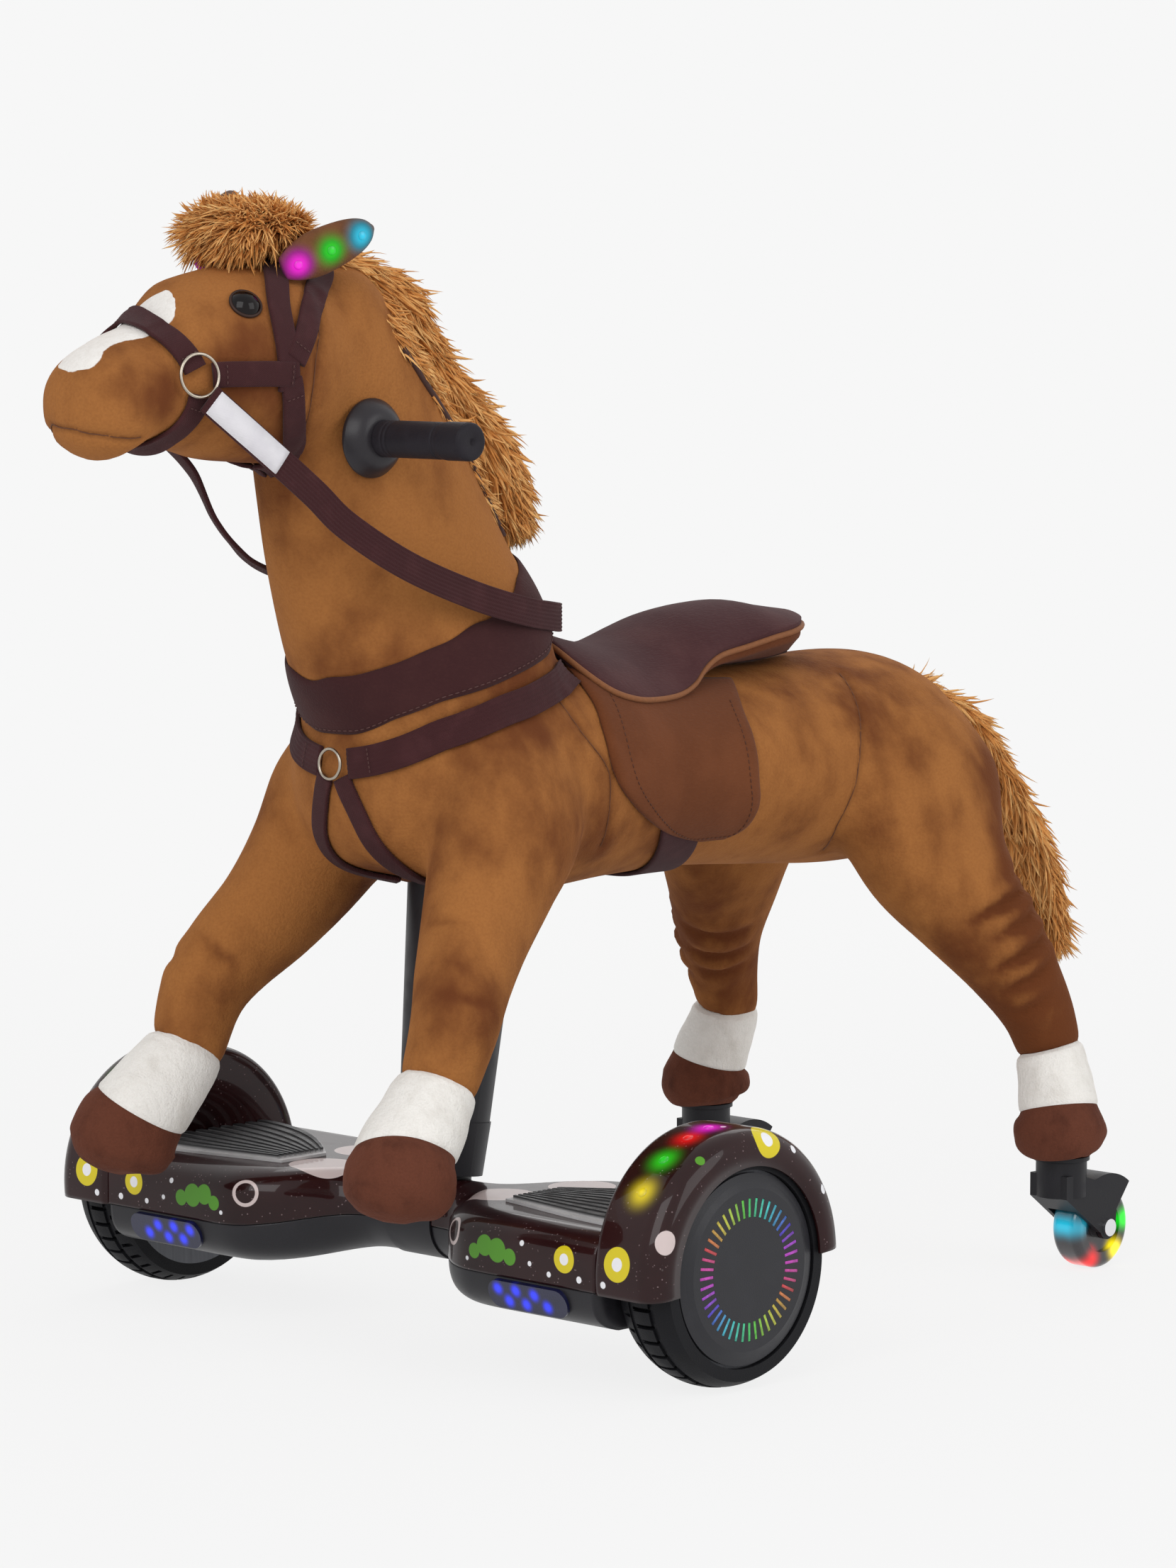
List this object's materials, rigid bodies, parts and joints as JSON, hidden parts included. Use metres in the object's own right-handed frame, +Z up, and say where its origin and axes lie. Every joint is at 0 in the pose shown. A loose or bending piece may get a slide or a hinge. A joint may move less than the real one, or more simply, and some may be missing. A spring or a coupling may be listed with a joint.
{
  "type": "ride-on horse on wheels",
  "caption": "Plush ride-on horse with bridle, reins, saddle and neck handles, its front carried by a post on a self-balancing two-wheel board and its rear on swivel casters.",
  "frame": {"origin": "on the floor under the middle of the whole part's bounding box", "axes": "+Z up, -Y the way the horse looks, +X the horse's left side, drive axle along X"},
  "size_m": [0.601, 1.0259, 0.8051],
  "materials": {
    "plush_tan": "short brushed pile",
    "plush_white": "short white pile",
    "plush_dark": "short dark brown pile",
    "fur_gold": "long golden pile",
    "webbing": "ribbed webbing",
    "felt_dark": "dark brown felt",
    "felt_brown": "mid brown felt",
    "ring_steel": "polished",
    "eye_black": "polished dome",
    "ear_lamp": "lit lens",
    "grip_rubber": "smooth",
    "frame_steel": "tube",
    "post_black": "satin",
    "shell_plum": "glossy printed film",
    "shell_black": "satin",
    "pad_rubber": "ridged",
    "lamp_blue": "lit lens",
    "guard_lamp": "lit lens",
    "chassis_alu": "cast",
    "axle_steel": "ground",
    "battery_blue": "shrink sleeve",
    "board_green": "circuit board",
    "tyre_black": "treaded",
    "motor_grey": "satin",
    "cover_grey": "satin",
    "caster_black": "satin",
    "caster_clear": "clear"
  },
  "bodies": {
    "horse": {"torso_plush": "plush_tan", "neck_plush": "plush_tan", "head_plush": "plush_tan", "front_leg_left": "plush_tan", "front_leg_right": "plush_tan", "rear_leg_left": "plush_tan", "rear_leg_right": "plush_tan", "socks": "plush_white", "hooves": "plush_dark", "ears": "plush_tan", "ear_lights": "ear_lamp", "eyes": "eye_black", "forelock": "fur_gold", "mane": "fur_gold", "tail": "fur_gold", "bridle_straps": "webbing", "tack_rings": "ring_steel", "reins": "webbing", "breast_collar": "felt_dark", "breast_straps": "webbing", "saddle_seat": "felt_dark", "saddle_flaps": "felt_brown", "girth": "webbing", "handle_grips": "grip_rubber", "handle_flanges": "grip_rubber", "handle_bar": "frame_steel", "steel_frame": "frame_steel", "post_tube": "frame_steel", "post_cover": "post_black", "centre_clamp": "post_black", "pivot_shaft": "axle_steel", "caster_stems": "axle_steel"},
    "board_left": {"upper_shell_left": "shell_plum", "lower_shell_left": "shell_black", "foot_pad_left": "pad_rubber", "front_lamp_left": "lamp_blue", "guard_lights_left": "guard_lamp", "chassis_left": "chassis_alu", "motor_axle_left": "axle_steel", "battery_pack": "battery_blue"},
    "wheel_left": {"tyre_left": "tyre_black", "hub_motor_left": "motor_grey", "hub_cover_left": "cover_grey"},
    "caster_left": {"caster_fork_left": "caster_black", "caster_bolt_left": "ring_steel"},
    "caster_roller_left": {"caster_wheel_left": "caster_clear"},
    "board_right": {"upper_shell_right": "shell_plum", "lower_shell_right": "shell_black", "foot_pad_right": "pad_rubber", "front_lamp_right": "lamp_blue", "guard_lights_right": "guard_lamp", "chassis_right": "chassis_alu", "motor_axle_right": "axle_steel", "control_board": "board_green"},
    "wheel_right": {"tyre_right": "tyre_black", "hub_motor_right": "motor_grey", "hub_cover_right": "cover_grey"},
    "caster_right": {"caster_fork_right": "caster_black", "caster_bolt_right": "ring_steel"},
    "caster_roller_right": {"caster_wheel_right": "caster_clear"}
  },
  "joints": [
    {"name": "board_left_tilt", "type": "hinge", "parent": "horse", "child": "board_left", "pos_m": [0.13, -0.178, 0.082], "axis": [1, 0, 0], "range_deg": [-10, 10], "stiffness_Nm_per_rad": 80},
    {"name": "wheel_left_spin", "type": "hinge", "parent": "board_left", "child": "wheel_left", "pos_m": [0.273, -0.178, 0.082], "axis": [1, 0, 0], "continuous": true},
    {"name": "caster_left_swivel", "type": "hinge", "parent": "horse", "child": "caster_left", "pos_m": [0.18, 0.296, 0.075], "axis": [0, 0, 1], "continuous": true},
    {"name": "caster_left_roll", "type": "hinge", "parent": "caster_left", "child": "caster_roller_left", "pos_m": [0.18, 0.33, 0.0315], "axis": [1, 0, 0], "continuous": true},
    {"name": "board_right_tilt", "type": "hinge", "parent": "horse", "child": "board_right", "pos_m": [-0.13, -0.178, 0.082], "axis": [1, 0, 0], "range_deg": [-10, 10], "stiffness_Nm_per_rad": 80},
    {"name": "wheel_right_spin", "type": "hinge", "parent": "board_right", "child": "wheel_right", "pos_m": [-0.273, -0.178, 0.082], "axis": [1, 0, 0], "continuous": true},
    {"name": "caster_right_swivel", "type": "hinge", "parent": "horse", "child": "caster_right", "pos_m": [-0.18, 0.296, 0.075], "axis": [0, 0, 1], "continuous": true},
    {"name": "caster_right_roll", "type": "hinge", "parent": "caster_right", "child": "caster_roller_right", "pos_m": [-0.18, 0.33, 0.0315], "axis": [1, 0, 0], "continuous": true}
  ]
}
